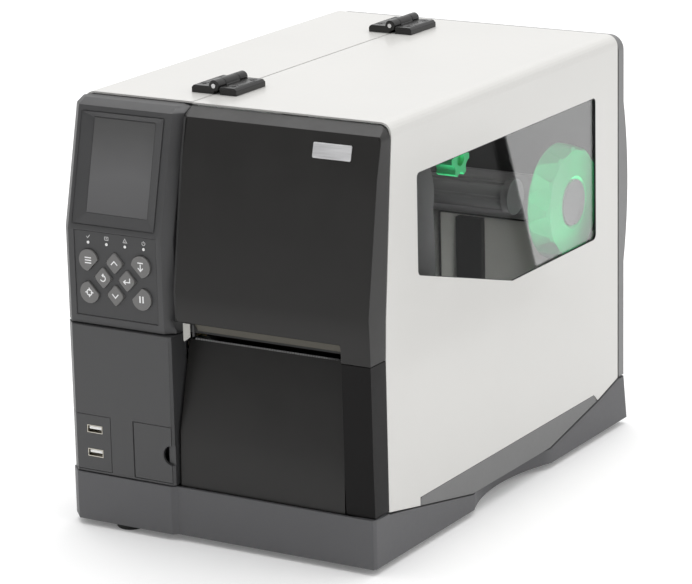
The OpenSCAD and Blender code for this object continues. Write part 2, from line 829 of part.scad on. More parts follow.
module menu_button() { round_key(round_keys[0]); }
module feed_button() { round_key(round_keys[1]); }
module calibrate_button() { round_key(round_keys[2]); }
module pause_button() { round_key(round_keys[3]); }
module up_button() { diamond_key(diamond_keys[0]); }
module down_button() { diamond_key(diamond_keys[1]); }
module back_button() { diamond_key(diamond_keys[2]); }
module enter_button() { diamond_key(diamond_keys[3]); }

function panel_plan(inset) = [
  [-half_w + 0.5 + inset, bezel_back], [-half_w + 0.5 + inset, -209 + inset / 2],
  [-129.5 + inset / 2, panel_y + inset], [-40 - inset, panel_y + inset],
  [cover_x - inset, panel_y + 2 + inset], [cover_x - inset, bezel_back]
];

function usb_plate_plan(grow) = [
  [-half_w + 0.5, -209], [-129.5, panel_y], [usb_plate_right + grow, panel_y],
  [usb_plate_right + grow, panel_y + 2 + grow], [-128.7 + grow, panel_y + 2 + grow],
  [-half_w + 2.6 + grow, -208 + grow]
];

module hatch_plan(grow) {
  translate(hatch_pivot) circle(r = 1.1 + grow);
  polygon([hatch_pivot + [0, -1.1 - grow], [hatch_right + grow, panel_y - grow],
    [hatch_right + grow, panel_y + hatch_t + grow], hatch_pivot + [0, 1.1 + grow]]);
}

module usb_openings() {
  for (z = usb_z)
    block(usb_x - usb_size.x / 2, usb_x + usb_size.x / 2, -225, -200, z - usb_size.y / 2, z + usb_size.y / 2);
}

module lower_left_panel() {
  z0 = base_top + 0.7;
  color([0.26, 0.26, 0.27]) difference() {
    translate([0, 0, z0]) linear_extrude(panel_top - z0) polygon(panel_plan(0));
    difference() {
      translate([0, 0, z0 - 1]) linear_extrude(panel_top - z0 - wall + 1) polygon(panel_plan(wall));
      block(-78, cover_x, -222, -203, small_z[0] - 3, small_z[1] + 3);
    }
    block(-72, -44, -220, -206, small_z[0] + 3, small_z[1] - 3);
    translate([0, 0, small_z[0]]) linear_extrude(small_z[1] - small_z[0]) {
      polygon(usb_plate_plan(hairline));
      hatch_plan(hairline);
      polygon(box_pts(hatch_pivot.x - 1.6, hatch_pivot.x, panel_y - 1, hatch_pivot.y));
    }
    block(pulley_x - 2, cover_x + 1, -196, -170, 132, panel_top + 1);
    usb_openings();
    for (z = [small_z[0] - 2, small_z[1] - 1]) translate([hatch_pivot.x, hatch_pivot.y, z])
      cylinder(h = 3, r = 0.7 + running_fit);
    translate([hatch_right + hairline, 0, notch_z])
      along_y(panel_y - 1, panel_y + hatch_t + 0.3) circle(r = notch_r);
  }
}

module usb_plate() {
  color([0.27, 0.27, 0.28]) difference() {
    translate([0, 0, small_z[0] + hairline])
      linear_extrude(small_z[1] - small_z[0] - 2 * hairline) polygon(usb_plate_plan(0));
    usb_openings();
  }
}

module usb_shells() {
  w = usb_size.x / 2 - 0.1;
  h = usb_size.y / 2 - 0.1;
  color([0.8, 0.8, 0.8]) for (z = usb_z) difference() {
    block(usb_x - w, usb_x + w, panel_y - 0.2, -203, z - h, z + h);
    block(usb_x - w + 0.5, usb_x + w - 0.5, panel_y - 1, -205, z - h + 0.5, z + h - 0.5);
  }
}

module usb_tongues() {
  color([0.95, 0.95, 0.95]) for (z = usb_z)
    block(usb_x - 5.6, usb_x + 5.6, panel_y + 0.8, -205, z - 0.2, z + 1.9);
}

module connector_hatch() {
  color([0.27, 0.27, 0.28]) {
    difference() {
      translate([0, 0, small_z[0] + hairline])
        linear_extrude(small_z[1] - small_z[0] - 2 * hairline) hatch_plan(0);
      translate([hatch_right + hairline, 0, notch_z])
        along_y(panel_y - 1, panel_y + hatch_t + 1) circle(r = notch_r);
    }
    translate([hatch_pivot.x, hatch_pivot.y, small_z[0] - 1.2])
      cylinder(h = small_z[1] - small_z[0] + 2.4, r = 0.7);
  }
}

module chute_panel() {
  low = base_top + 0.2;
  t = 2.4;
  color([0.22, 0.22, 0.23]) {
    along_x(wall_x + 0.2, chute_right) polygon([
      [chute_low_y, low], chute_fold, [chute_top_y, slot_low - 1.4], [-188.4, slot_low - 1.4],
      [-188.4, slot_low - 3.2], [chute_top_y + t, slot_low - 3.2], chute_fold + [t, 0], [chute_low_y + t, low]
    ]);
    for (x = [wall_x + 0.2, chute_right - t]) along_x(x, x + t) polygon([
      [chute_low_y + 1, low], chute_fold + [1, 0], [chute_top_y + 1, slot_low - 2], [-191.5, slot_low - 2],
      [-191.5, low]
    ]);
  }
}

// A serrated steel edge: its front outline is a row of small teeth
module tear_bar() {
  teeth = 60;
  pitch = (tear_x[1] - tear_x[0]) / teeth;
  tips = [for (i = [0:teeth - 1]) let (x = tear_x[0] + i * pitch)
    each [[x, -195.6], [x + pitch / 2, -196.5]]];
  color([0.8, 0.8, 0.8]) translate([0, 0, slot_low - 1.4]) linear_extrude(1.4)
    polygon(concat(tips, [[tear_x[1], -195.6], [tear_x[1], -188.6], [tear_x[0], -188.6]]));
}

// ---- Door ----

module door_side_outline() {
  polygon(concat(
    [[-178.5, cabinet_h + 1]], [for (p = door_join) p + [seam, 0]], [door_join_low[1] + [seam, -1]],
    [[grip_y[0] - seam, 34.6], [grip_y[0] - seam, grip_top + seam], [grip_y[1] - 6, grip_top + seam],
     [grip_y[1] + 1, 35], [sheet_back_y, base_top + 0.5], [sheet_back_y, cabinet_h + 1]]
  ));
}

module door_shell() {
  color([0.92, 0.92, 0.9]) difference() {
    intersection() {
      along_y(-200, sheet_back_y) sheet_angle(half_w, door_x, 30);
      along_x(-60, half_w + 1) door_side_outline();
    }
    along_x(half_w - 5, half_w + 5) polygon(rounded(window_pts, window_round));
    hinge_screw_holes(1);
  }
}

module door_window() {
  x1 = half_w - sheet_t - 0.05;
  rim = 7;
  outer = [window_pts[0] + [-rim, rim], window_pts[1] + [rim, rim], window_pts[2] + [rim, -rim],
    window_pts[3] + [0, -rim], window_pts[4] + [-rim, -rim]];
  color([0.5, 0.52, 0.52, 0.4]) along_x(x1 - 2, x1) polygon(rounded(outer, window_round));
}

// Outline of the dark front cover seen from the front
module front_cover_outline(inset) {
  polygon(rounded([
    [door_x + inset, cover_lip.y], [strip_left, cover_lip.y], [strip_left, strip_seam_z],
    [half_w - inset, strip_seam_z],
    [half_w - inset, cover_top - inset], [door_x + inset, cover_top - inset]
  ], [0, 0, 0, 0, fold_r + 1 - inset / 2, 0]));
}

module cover_side(run, rear) {
  front = [for (p = door_front) p + [run, 0]];
  polygon(concat(front, [[door_front_low[1].x + run, strip_seam_z]], reversed(rear)));
}

module door_front_cover() {
  edge = 5;
  color([0.17, 0.17, 0.17]) difference() {
    intersection() {
      hull() {
        along_x(door_x + edge, half_w) cover_side(0, door_join);
        along_x(door_x, half_w) cover_side(edge, door_join);
      }
      along_x(door_x, half_w) cover_side(0, door_join);
      along_y(-225, -170) front_cover_outline(0);
    }
    intersection() {
      along_x(door_x + wall, half_w - wall) polygon(concat(
        [for (p = door_front) p + [wall, 0]],
        [[door_front_low[1].x + wall, strip_seam_z], [-170, strip_seam_z], [-170, cover_top]]));
      along_y(-222, -160) polygon(box_pts(door_x + wall, half_w - wall, 100, cover_top - wall - 1.5));
    }
    along_x(door_x - 1, strip_left) polygon([
      [-230, slot_high], door_front[4], cover_lip, [-170, cover_lip.y], [-170, 100], [-230, 100]
    ]);
  }
}

module door_lower_strip() {
  color([0.18, 0.18, 0.18]) difference() {
    along_x(strip_left, half_w) polygon(concat(
      [door_front_low[1] + [0, -seam]], [door_front_low[2], door_front_low[3]], [door_join_low[1]],
      [door_join_low[0] + [0, -seam]]));
    along_x(strip_left + wall, half_w - wall) polygon(concat(
      [[door_front_low[1].x + wall, 170]], [door_front_low[2] + [wall, 0], door_front_low[3] + [wall, -1]],
      [[-180, base_top - 1], [-180, 170]]));
  }
}

module door_grip() {
  color([0.42, 0.42, 0.42]) along_x(half_w - sheet_t, half_w) polygon(rounded([
    [grip_y[0], 34.3], [grip_y[0], grip_top], [grip_y[1] - 6.8, grip_top], [grip_y[1], 34.6],
    [70, 18.2], [-62, 18.6]
  ], [0, 3, 2.5, 0, 0, 0]));
  color([0.42, 0.42, 0.42]) block(half_w - sheet_t - 4, half_w - sheet_t, -55, 63, 19, 21);
}

module badge_plate() {
  badge_x = [82.4, 115.6];
  badge_s = [314, 325.8];
  slope = atan2(door_front[1].x - door_front[2].x, door_front[1].y - door_front[2].y);
  top = door_front[1];
  color([0.85, 0.85, 0.86]) translate([0, top.x, top.y]) rotate([-slope, 0, 0])
    along_y(-0.7, -0.05) translate([0, -(top.y - badge_s[0]) / cos(slope)])
      polygon(rounded(box_pts(badge_x[0], badge_x[1], 0, badge_s[1] - badge_s[0]), [1.2, 1.2, 1.2, 1.2]));
}

// ---- Hinges ----

// Side section of one leaf in X and Z from the axis, for the side given by s
module leaf_section(s) {
  low = -hinge_rise;
  high = low + leaf_t;
  polygon([[s * leaf_start, low], [s * leaf_start, high], [s * (leaf_reach - 2), high],
    [s * leaf_reach, high - 2], [s * leaf_reach, low]]);
}

module knuckle(s, y0, y1) {
  along_y(y0, y1) {
    circle(r = knuckle_r);
    root = s * (leaf_start + 0.5);
    polygon([[0, -hinge_rise], [root, -hinge_rise], [root, leaf_t - hinge_rise], [0, 0]]);
  }
}

module hinge_leaf(s) {
  half = hinge_len / 2;
  gap = 0.2;
  difference() {
    union() {
      along_y(-half, half) leaf_section(s);
      if (s < 0) {
        knuckle(s, -half, -half + end_knuckle);
        knuckle(s, half - end_knuckle, half);
      }
      if (s > 0) knuckle(s, -half + end_knuckle + gap, half - end_knuckle - gap);
    }
    rod_y([0, 0], -half - 1, half + 1, pin_r + running_fit);
    for (t = [-1, 1]) translate([s * hinge_screw_x, t * hinge_screw_y, -hinge_rise - 1]) {
      cylinder(h = 10, r = screw_r + 0.3);
      translate([0, 0, 1 + leaf_t - 3]) cylinder(h = 3.01, r1 = screw_r + 0.3, r2 = screw_head_r + 0.2);
    }
  }
}

module at_hinges() {
  for (y = hinge_y) translate([seam_x, y, axis_z]) children();
}

module hinge_screws(s) {
  at_hinges() for (t = [-1, 1]) translate([s * hinge_screw_x, t * hinge_screw_y, -hinge_rise]) difference() {
    union() {
      translate([0, 0, -5]) cylinder(h = 5 + leaf_t - 3, r = screw_r);
      translate([0, 0, leaf_t - 3.2]) cylinder(h = 2.9, r1 = screw_r, r2 = screw_head_r);
    }
    translate([-2.4, -0.45, leaf_t - 1.3]) cube([4.8, 0.9, 2]);
    translate([-0.45, -2.4, leaf_t - 1.3]) cube([0.9, 4.8, 2]);
  }
}

module hinge_fixed_leaves() { color([0.07, 0.07, 0.07]) at_hinges() hinge_leaf(-1); }
module hinge_door_leaves() { color([0.07, 0.07, 0.07]) at_hinges() hinge_leaf(1); }
module hinge_fixed_screws() { color([0.1, 0.1, 0.1]) hinge_screws(-1); }
module hinge_door_screws() { color([0.1, 0.1, 0.1]) hinge_screws(1); }

module hinge_pins() {
  color([0.7, 0.7, 0.7]) at_hinges() rod_y([0, 0], -hinge_len / 2 - 0.6, hinge_len / 2 + 0.6, pin_r);
}

base_tray();
rubber_feet();
chassis_frame();
left_cover();
rear_cover();
power_inlet();
power_rocker();
interface_ports();
circuit_board();
power_supply();
stepper_motor();
motor_pulley();
drive_belt();
shaft_bushes();
mech_plate();
head_pivot_shaft();
tear_bar();
chute_panel();
lower_left_panel();
usb_plate();
usb_shells();
usb_tongues();
connector_hatch();
control_bezel();
display_glass();
keypad_plate();
indicator_leds();
menu_button();
feed_button();
calibrate_button();
pause_button();
up_button();
down_button();
back_button();
enter_button();
media_spindle();
media_retainer();
ribbon_supply_spindle();
ribbon_takeup_spindle();
ribbon_takeup_knob();
guide_roller();
platen_shaft();
platen_roller();
platen_pulley();
head_bracket();
thermal_printhead();
head_springs();
head_lever();
hinge_fixed_leaves();
hinge_door_leaves();
hinge_pins();
hinge_fixed_screws();
hinge_door_screws();
door_shell();
door_window();
door_front_cover();
door_lower_strip();
door_grip();
badge_plate();
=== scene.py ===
import json
import math

import bmesh
import bpy
from mathutils import Matrix, Vector


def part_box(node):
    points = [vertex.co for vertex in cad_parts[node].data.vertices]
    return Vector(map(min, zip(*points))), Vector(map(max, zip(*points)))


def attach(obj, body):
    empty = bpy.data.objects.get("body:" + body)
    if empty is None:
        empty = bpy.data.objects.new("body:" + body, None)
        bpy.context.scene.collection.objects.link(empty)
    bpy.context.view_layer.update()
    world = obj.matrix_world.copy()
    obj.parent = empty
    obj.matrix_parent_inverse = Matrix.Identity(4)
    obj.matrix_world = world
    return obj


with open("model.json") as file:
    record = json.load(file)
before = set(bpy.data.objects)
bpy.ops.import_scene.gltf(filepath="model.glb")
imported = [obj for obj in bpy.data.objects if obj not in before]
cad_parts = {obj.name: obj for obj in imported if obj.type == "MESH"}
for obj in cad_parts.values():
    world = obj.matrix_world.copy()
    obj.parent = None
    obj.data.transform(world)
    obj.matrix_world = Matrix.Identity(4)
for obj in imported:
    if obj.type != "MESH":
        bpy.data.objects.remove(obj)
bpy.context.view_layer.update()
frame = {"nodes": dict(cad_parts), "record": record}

NODES = frame["nodes"]
MM = 0.001


# ---- Camera ----

AZIMUTH, ELEVATION, ROLL = (math.radians(a) for a in (31.153, 15.379, -1.297))
LENS_MM, SENSOR_MM, DISTANCE = 169.56, 36.0, 2.655683
TARGET = Vector((-0.007337, -0.007, 0.152348))


def make_camera():
    back = Vector((math.sin(AZIMUTH) * math.cos(ELEVATION), -math.cos(AZIMUTH) * math.cos(ELEVATION),
                   math.sin(ELEVATION)))
    right = (-back).cross(Vector((0, 0, 1))).normalized()
    up = right.cross(-back)
    c, s = math.cos(ROLL), math.sin(ROLL)
    axes = Matrix((c * right + s * up, -s * right + c * up, back)).transposed()
    data = bpy.data.cameras.new("camera")
    data.lens, data.sensor_width = LENS_MM, SENSOR_MM
    data.clip_start, data.clip_end = 0.05, 60
    cam = bpy.data.objects.new("camera", data)
    cam.matrix_world = Matrix.Translation(TARGET + back * DISTANCE) @ axes.to_4x4()
    bpy.context.scene.collection.objects.link(cam)
    bpy.context.scene.camera = cam
    return cam.matrix_world.translation.copy()


camera_at = make_camera()


# ---- Materials ----

class Shader:
    """A Principled material with helpers for the nodes that vary its surface."""

    def __init__(self, name, **constants):
        self.mat = bpy.data.materials.new(name)
        self.mat.use_nodes = True
        self.tree = self.mat.node_tree
        self.tree.nodes.clear()
        self.out = self.tree.nodes.new("ShaderNodeOutputMaterial")
        self.bsdf = self.tree.nodes.new("ShaderNodeBsdfPrincipled")
        self.link(self.bsdf.outputs[0], self.out.inputs["Surface"])
        for key, value in constants.items():
            self.bsdf.inputs[key.replace("_", " ").title().replace("Ior", "IOR")].default_value = value
        self.coords = self.tree.nodes.new("ShaderNodeTexCoord").outputs["Object"]

    def link(self, a, b):
        self.tree.links.new(a, b)

    def stretched(self, scale):
        mapping = self.tree.nodes.new("ShaderNodeMapping")
        mapping.inputs["Scale"].default_value = scale
        self.link(self.coords, mapping.inputs["Vector"])
        return mapping.outputs[0]

    def noise(self, scale, detail=3.0, rough=0.5, coords=None):
        n = self.tree.nodes.new("ShaderNodeTexNoise")
        n.inputs["Scale"].default_value = scale
        n.inputs["Detail"].default_value = detail
        n.inputs["Roughness"].default_value = rough
        self.link(coords or self.coords, n.inputs["Vector"])
        return n.outputs["Fac"]

    def cells(self, scale):
        n = self.tree.nodes.new("ShaderNodeTexVoronoi")
        n.inputs["Scale"].default_value = scale
        self.link(self.coords, n.inputs["Vector"])
        return n.outputs["Distance"]

    def ramp(self, value, *stops):
        n = self.tree.nodes.new("ShaderNodeValToRGB")
        elements = n.color_ramp.elements
        while len(elements) < len(stops):
            elements.new(0.5)
        for e, (at, colour) in zip(elements, stops):
            e.position = at
            e.color = (*colour, 1) if len(colour) == 3 else colour
        self.link(value, n.inputs[0])
        return n.outputs["Color"]

    def span(self, value, lo, hi, from_lo=0.3, from_hi=0.7):
        n = self.tree.nodes.new("ShaderNodeMapRange")
        n.clamp = False
        for key, v in (("From Min", from_lo), ("From Max", from_hi), ("To Min", lo), ("To Max", hi)):
            n.inputs[key].default_value = v
        self.link(value, n.inputs["Value"])
        return n.outputs["Result"]

    def add(self, a, b, share=1.0):
        n = self.tree.nodes.new("ShaderNodeMath")
        n.operation = "MULTIPLY_ADD"
        self.link(b, n.inputs[0])
        n.inputs[1].default_value = share
        self.link(a, n.inputs[2])
        return n.outputs[0]

    def along(self, axis):
        n = self.tree.nodes.new("ShaderNodeSeparateXYZ")
        self.link(self.coords, n.inputs[0])
        return n.outputs[axis]

    def colour(self, socket):
        self.link(socket, self.bsdf.inputs["Base Color"])

    def mottled(self, value, lo, hi, colour, mottle):
        """Varies the base colour to both sides of its mean as value goes from lo to hi."""
        self.colour(self.ramp(value, (lo, scaled(colour, 1 - mottle)), (hi, scaled(colour, 1 + mottle))))

    def roughness(self, socket):
        self.link(socket, self.bsdf.inputs["Roughness"])

    def bump(self, height, strength, distance):
        n = self.tree.nodes.new("ShaderNodeBump")
        n.inputs["Strength"].default_value = strength
        n.inputs["Distance"].default_value = distance
        self.link(height, n.inputs["Height"])
        self.link(n.outputs[0], self.bsdf.inputs["Normal"])


# Heights of the surface relief, in millimetres, and the stretch of rolled metal's scratches.
PEEL, FINE_RELIEF, RUBBER_RELIEF, TRACK_RELIEF, PANE_WAVE = 0.008, 0.01, 0.03, 0.05, 0.02
ROLLED = (60, 900, 900)


def srgb(*levels):
    """Scene-linear colour of display levels from 0 to 255."""
    if len(levels) == 1:
        levels = levels * 3
    return tuple(v / 255 / 12.92 if v <= 10 else ((v / 255 + 0.055) / 1.055) ** 2.4 for v in levels)


def scaled(colour, k):
    return tuple(min(1.0, c * k) for c in colour)


def moulded(name, colour, rough=0.5, grain=1500, depth=0.03, mottle=0.05, spec=0.5):
    """Moulded plastic with a spark-eroded grain."""
    s = Shader(name, specular_ior_level=spec)
    slow = s.noise(28, 4)
    fine = s.noise(grain, 2)
    mixed = s.add(slow, fine, 0.5)
    s.mottled(mixed, 0.5, 1.0, colour, mottle)
    s.roughness(s.span(s.add(slow, s.noise(220, 3), 0.6), rough - 0.05, rough + 0.05, 0.5, 1.1))
    s.bump(s.add(fine, s.cells(grain * 0.55), 0.6), 0.35, depth * MM)
    return s.mat


def coated(name, colour, rough=0.35, mottle=0.012):
    """Powder coat: a fine orange peel over sheet metal."""
    s = Shader(name, specular_ior_level=0.5, coat_weight=0.3, coat_roughness=0.12)
    slow = s.noise(14, 4)
    peeled = s.noise(420, 2, 0.4)
    specks = s.noise(1700, 1)
    s.mottled(s.add(slow, specks, 0.6), 0.55, 1.05, colour, mottle)
    s.roughness(s.span(s.add(slow, s.noise(160, 3), 0.5), rough - 0.04, rough + 0.04, 0.45, 1.0))
    s.bump(peeled, 0.2, PEEL * MM)
    return s.mat


def metal(name, colour, rough=0.3, grain=ROLLED, mottle=0.12):
    """Ground or rolled metal, its scratches stretched along one axis."""
    s = Shader(name, metallic=1.0)
    drawn = s.noise(1.0, 3, 0.6, s.stretched(grain))
    slow = s.noise(45, 3)
    s.mottled(s.add(drawn, slow, 0.5), 0.5, 1.0, colour, mottle)
    s.roughness(s.span(drawn, rough - 0.08, rough + 0.1))
    s.bump(drawn, 0.3, FINE_RELIEF * MM)
    return s.mat


def rubber(name, colour, rough=0.75):
    s = Shader(name, specular_ior_level=0.3, sheen_weight=0.08, sheen_roughness=0.5)
    slow, fine = s.noise(70, 4), s.noise(1300, 3)
    s.colour(s.ramp(s.add(slow, fine, 0.4), (0.45, scaled(colour, 0.8)), (0.95, scaled(colour, 1.3))))
    s.roughness(s.span(slow, rough - 0.08, rough + 0.08))
    s.bump(fine, 0.4, RUBBER_RELIEF * MM)
    return s.mat


def window_material():
    """Acrylic that lamps shine through and that mirrors what stands beside the machine."""
    s = Shader("window_clear", transmission_weight=1.0, ior=1.5)
    s.colour(s.ramp(s.noise(12, 3), (0.3, (0.965, 0.97, 0.97)), (0.7, (0.98, 0.985, 0.985))))
    s.roughness(s.span(s.noise(90, 4), 0.005, 0.02))
    s.bump(s.noise(25, 2), 0.05, PANE_WAVE * MM)
    path = s.tree.nodes.new("ShaderNodeLightPath")
    clear = s.tree.nodes.new("ShaderNodeBsdfTransparent")
    clear.inputs[0].default_value = (0.95, 0.955, 0.955, 1)
    mix = s.tree.nodes.new("ShaderNodeMixShader")
    s.link(path.outputs["Is Shadow Ray"], mix.inputs[0])
    s.link(s.bsdf.outputs[0], mix.inputs[1])
    s.link(clear.outputs[0], mix.inputs[2])
    s.link(mix.outputs[0], s.out.inputs["Surface"])
    return s.mat


def screen_material():
    """The unlit display: a dark panel under a haze of anti-glare film, with a painted reflection that makes
    its colour paler towards its lower edge and darker at its top.
    """
    s = Shader("display_glass", specular_ior_level=0.6, coat_weight=0.4, coat_roughness=0.12)
    foot, head = (corner.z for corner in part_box("display_glass"))
    # Painted reflection: the base colour grows paler towards the foot of the screen and darker at its head.
    height = s.add(s.span(s.along(2), 0.0, 1.0, foot, head), s.noise(22, 3), 0.25)
    s.colour(s.ramp(height, (0.1, srgb(92, 92, 93)), (0.5, srgb(98, 98, 99)), (1.0, srgb(80, 80, 80))))
    s.roughness(s.span(s.noise(60, 3), 0.31, 0.35))
    s.bump(s.noise(1800, 1), 0.1, FINE_RELIEF * MM)
    return s.mat


def printed(name, colour, rough=0.5):
    """Screen-printed ink."""
    s = Shader(name, specular_ior_level=0.4)
    s.colour(s.ramp(s.noise(900, 2), (0.3, scaled(colour, 0.92)), (0.7, colour)))
    s.roughness(s.span(s.noise(500, 2), rough - 0.05, rough + 0.05))
    s.bump(s.noise(1600, 2), 0.2, FINE_RELIEF * MM)
    return s.mat


def board_material():
    """Solder mask over copper tracks."""
    s = Shader("board_green", specular_ior_level=0.5)
    tracks = s.tree.nodes.new("ShaderNodeTexBrick")
    tracks.inputs["Scale"].default_value = 160
    tracks.inputs["Color1"].default_value = (0.02, 0.13, 0.06, 1)
    tracks.inputs["Color2"].default_value = (0.025, 0.17, 0.075, 1)
    tracks.inputs["Mortar"].default_value = (0.05, 0.24, 0.11, 1)
    turned = s.tree.nodes.new("ShaderNodeMapping")
    turned.inputs["Rotation"].default_value = (0, math.pi / 2, 0)
    s.link(s.coords, turned.inputs["Vector"])
    s.link(turned.outputs[0], tracks.inputs["Vector"])
    s.colour(tracks.outputs["Color"])
    s.roughness(s.span(s.noise(200, 3), 0.3, 0.42))
    s.bump(tracks.outputs["Fac"], 0.3, TRACK_RELIEF * MM)
    return s.mat


MATERIALS = {
    "white_coat": coated("white_coat", (0.64, 0.632, 0.61)),
    "rear_coat": coated("rear_coat", srgb(108), rough=0.42, mottle=0.03),
    "bezel_plastic": moulded("bezel_plastic", srgb(66, 66, 67), rough=0.42),
    "door_plastic": moulded("door_plastic", srgb(34, 33, 32), rough=0.37, depth=0.012, spec=0.34),
    "base_plastic": moulded("base_plastic", srgb(87, 87, 89), rough=0.55, grain=1100, depth=0.05),
    "grip_plastic": moulded("grip_plastic", srgb(112), rough=0.5),
    "key_plastic": moulded("key_plastic", srgb(112, 111, 110), rough=0.38, mottle=0.03),
    "keypad_film": moulded("keypad_film", srgb(61, 61, 62), rough=0.5, grain=2200, depth=0.01, mottle=0.03),
    "hinge_black": moulded("hinge_black", srgb(12, 11, 10), rough=0.2, grain=900, depth=0.008, mottle=0.12),
    "screw_black": metal("screw_black", srgb(74), rough=0.3, grain=(900, 900, 60)),
    "foot_rubber": rubber("foot_rubber", srgb(32)),
    "platen_rubber": rubber("platen_rubber", srgb(48), rough=0.5),
    "belt_rubber": rubber("belt_rubber", srgb(38)),
    "window_clear": window_material(),
    "display_glass": screen_material(),
    "led_lens": printed("led_lens", (0.93, 0.93, 0.92), rough=0.25),
    "badge_metal": metal("badge_metal", (0.86, 0.86, 0.87), rough=0.4, grain=(40, 900, 900), mottle=0.05),
    "zinc_steel": metal("zinc_steel", (0.62, 0.63, 0.63), rough=0.42, grain=(120, 160, 500), mottle=0.15),
    "dark_steel": coated("dark_steel", srgb(46), rough=0.45, mottle=0.06),
    "bright_steel": metal("bright_steel", (0.72, 0.72, 0.73), rough=0.22),
    "spring_steel": metal("spring_steel", (0.55, 0.55, 0.56), rough=0.3),
    "head_metal": metal("head_metal", srgb(46), rough=0.45, grain=(50, 800, 800)),
    "bronze": metal("bronze", (0.55, 0.4, 0.2), rough=0.4, grain=(500, 500, 500)),
    "pulley_metal": metal("pulley_metal", (0.66, 0.66, 0.67), rough=0.32, grain=(70, 800, 800)),
    "motor_coat": coated("motor_coat", srgb(58), rough=0.4, mottle=0.08),
    "spindle_plastic": moulded("spindle_plastic", srgb(112, 110, 112), rough=0.4, mottle=0.03),
    "dark_plastic": moulded("dark_plastic", srgb(58), rough=0.42),
    "green_plastic": moulded("green_plastic", srgb(52, 190, 118), rough=0.36, mottle=0.04, depth=0.015),
    "inlet_plastic": moulded("inlet_plastic", srgb(42), rough=0.34, grain=2000, depth=0.01),
    "port_metal": metal("port_metal", (0.6, 0.57, 0.5), rough=0.3),
    "tongue_plastic": moulded("tongue_plastic", (0.96, 0.96, 0.95), rough=0.3, mottle=0.02),
    "board_green": board_material(),
}
WHITE_INK = printed("white_ink", (0.92, 0.92, 0.92))
GREY_INK = printed("grey_ink", srgb(200))
# Black rubber for the window's gasket, also laid as painted shade on the door's undercut and left edge.
GASKET_AND_PAINTED_SHADE = rubber("gasket_and_painted_shade_black", srgb(26), rough=0.6)
BAFFLE = coated("baffle_grey", srgb(232, 230, 224), rough=0.5, mottle=0.05)
FLAP = moulded("flap_black", srgb(34), rough=0.4)
# Painted reflection: a lighter, olive copy of the door plastic for the undercut that faces the floor.
LIP_PAINTED_REFLECTION = moulded("lip_painted_reflection", srgb(74, 71, 62), rough=0.4, depth=0.01)
BRACKET = moulded("bracket_grey", srgb(172, 171, 166), rough=0.4, mottle=0.03)
STRIP = moulded("strip_plastic", srgb(22, 21, 21), rough=0.4, depth=0.012, spec=0.12)


def tear_material():
    """Blackened steel with a painted highlight: its colour is painted bright along the toothed front edge.
    """
    s = Shader("tear_steel", metallic=1.0)
    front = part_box("tear_bar")[0].y
    bright_to, dark_from = front + 0.5 * MM, front + 1.2 * MM
    # Painted highlight: near the front edge the colour turns bright, standing in for the edge's glint.
    painted_glint = s.span(s.along(1), 1.0, 0.0, bright_to, dark_from)
    s.colour(s.ramp(s.add(painted_glint, s.noise(300, 3), 0.2), (0.3, srgb(26)), (0.9, srgb(100))))
    s.roughness(s.span(s.noise(200, 3), 0.3, 0.42))
    s.bump(s.noise(1.0, 3, 0.6, s.stretched(ROLLED)), 0.3, FINE_RELIEF * MM)
    return s.mat


for part in frame["record"]["subparts"]:
    mesh = NODES[part["node"]].data
    mesh.materials.clear()
    mesh.materials.append(MATERIALS[part["material_slot"]])
for node, material in (("door_lower_strip", STRIP), ("tear_bar", tear_material())):
    NODES[node].data.materials[0] = material


# ---- Rounded edges on the moulded and cast parts ----

# Millimetres and degrees.
WELD_DISTANCE = 0.002
BEVEL_SEGMENTS, BEVEL_ANGLE = 2, 24
NORMAL_WEIGHT = 80


def weld_group():
    """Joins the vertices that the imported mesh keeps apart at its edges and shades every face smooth."""
    group = bpy.data.node_groups.new("weld", "GeometryNodeTree")
    group.interface.new_socket("Geometry", in_out="INPUT", socket_type="NodeSocketGeometry")
    group.interface.new_socket("Geometry", in_out="OUTPUT", socket_type="NodeSocketGeometry")
    source, sink = group.nodes.new("NodeGroupInput"), group.nodes.new("NodeGroupOutput")
    merge = group.nodes.new("GeometryNodeMergeByDistance")
    merge.inputs["Distance"].default_value = WELD_DISTANCE * MM
    smooth = group.nodes.new("GeometryNodeSetShadeSmooth")
    smooth.inputs["Shade Smooth"].default_value = True
    forget = group.nodes.new("GeometryNodeRemoveAttribute")
    forget.inputs["Name"].default_value = "custom_normal"
    chain = [source, merge, smooth, forget, sink]
    for a, b in zip(chain, chain[1:]):
        group.links.new(a.outputs[0], b.inputs[0])
    return group


WELD = weld_group()


def soften(node, width, clamp=False):
    """Rounds a CAD node's sharp edges by width, in millimetres, without touching its mesh."""
    o = NODES[node]
    weld = o.modifiers.new("weld", "NODES")
    weld.node_group = WELD
    bevel = o.modifiers.new("bevel", "BEVEL")
    bevel.width = width * MM
    bevel.segments = BEVEL_SEGMENTS
    bevel.limit_method = "ANGLE"
    bevel.angle_limit = math.radians(BEVEL_ANGLE)
    bevel.use_clamp_overlap = clamp
    bevel.miter_outer = "MITER_ARC"
    normals = o.modifiers.new("normals", "WEIGHTED_NORMAL")
    normals.keep_sharp = True
    normals.weight = NORMAL_WEIGHT


EDGE_ROUNDS = {
    "base_tray": 0.6, "control_bezel": 0.7, "lower_left_panel": 0.35, "chute_panel": 0.5,
    "door_front_cover": 0.8, "door_lower_strip": 0.6, "door_grip": 0.35, "usb_plate": 0.25,
    "hinge_fixed_leaves": 0.5, "hinge_door_leaves": 0.5, "display_glass": 0.3, "badge_plate": 0.12,
    "up_button": 0.7, "down_button": 0.7, "back_button": 0.7, "enter_button": 0.7,
    "power_rocker": 0.5, "power_inlet": 0.3, "thermal_printhead": 0.3,
}
ROUND_KEYS, ROUND_KEY_EDGE = ("menu", "feed", "calibrate", "pause"), 0.5
for node, width in EDGE_ROUNDS.items():
    soften(node, width)
for key in ROUND_KEYS:
    soften(f"{key}_button", ROUND_KEY_EDGE, clamp=True)


# ---- Mesh helpers ----

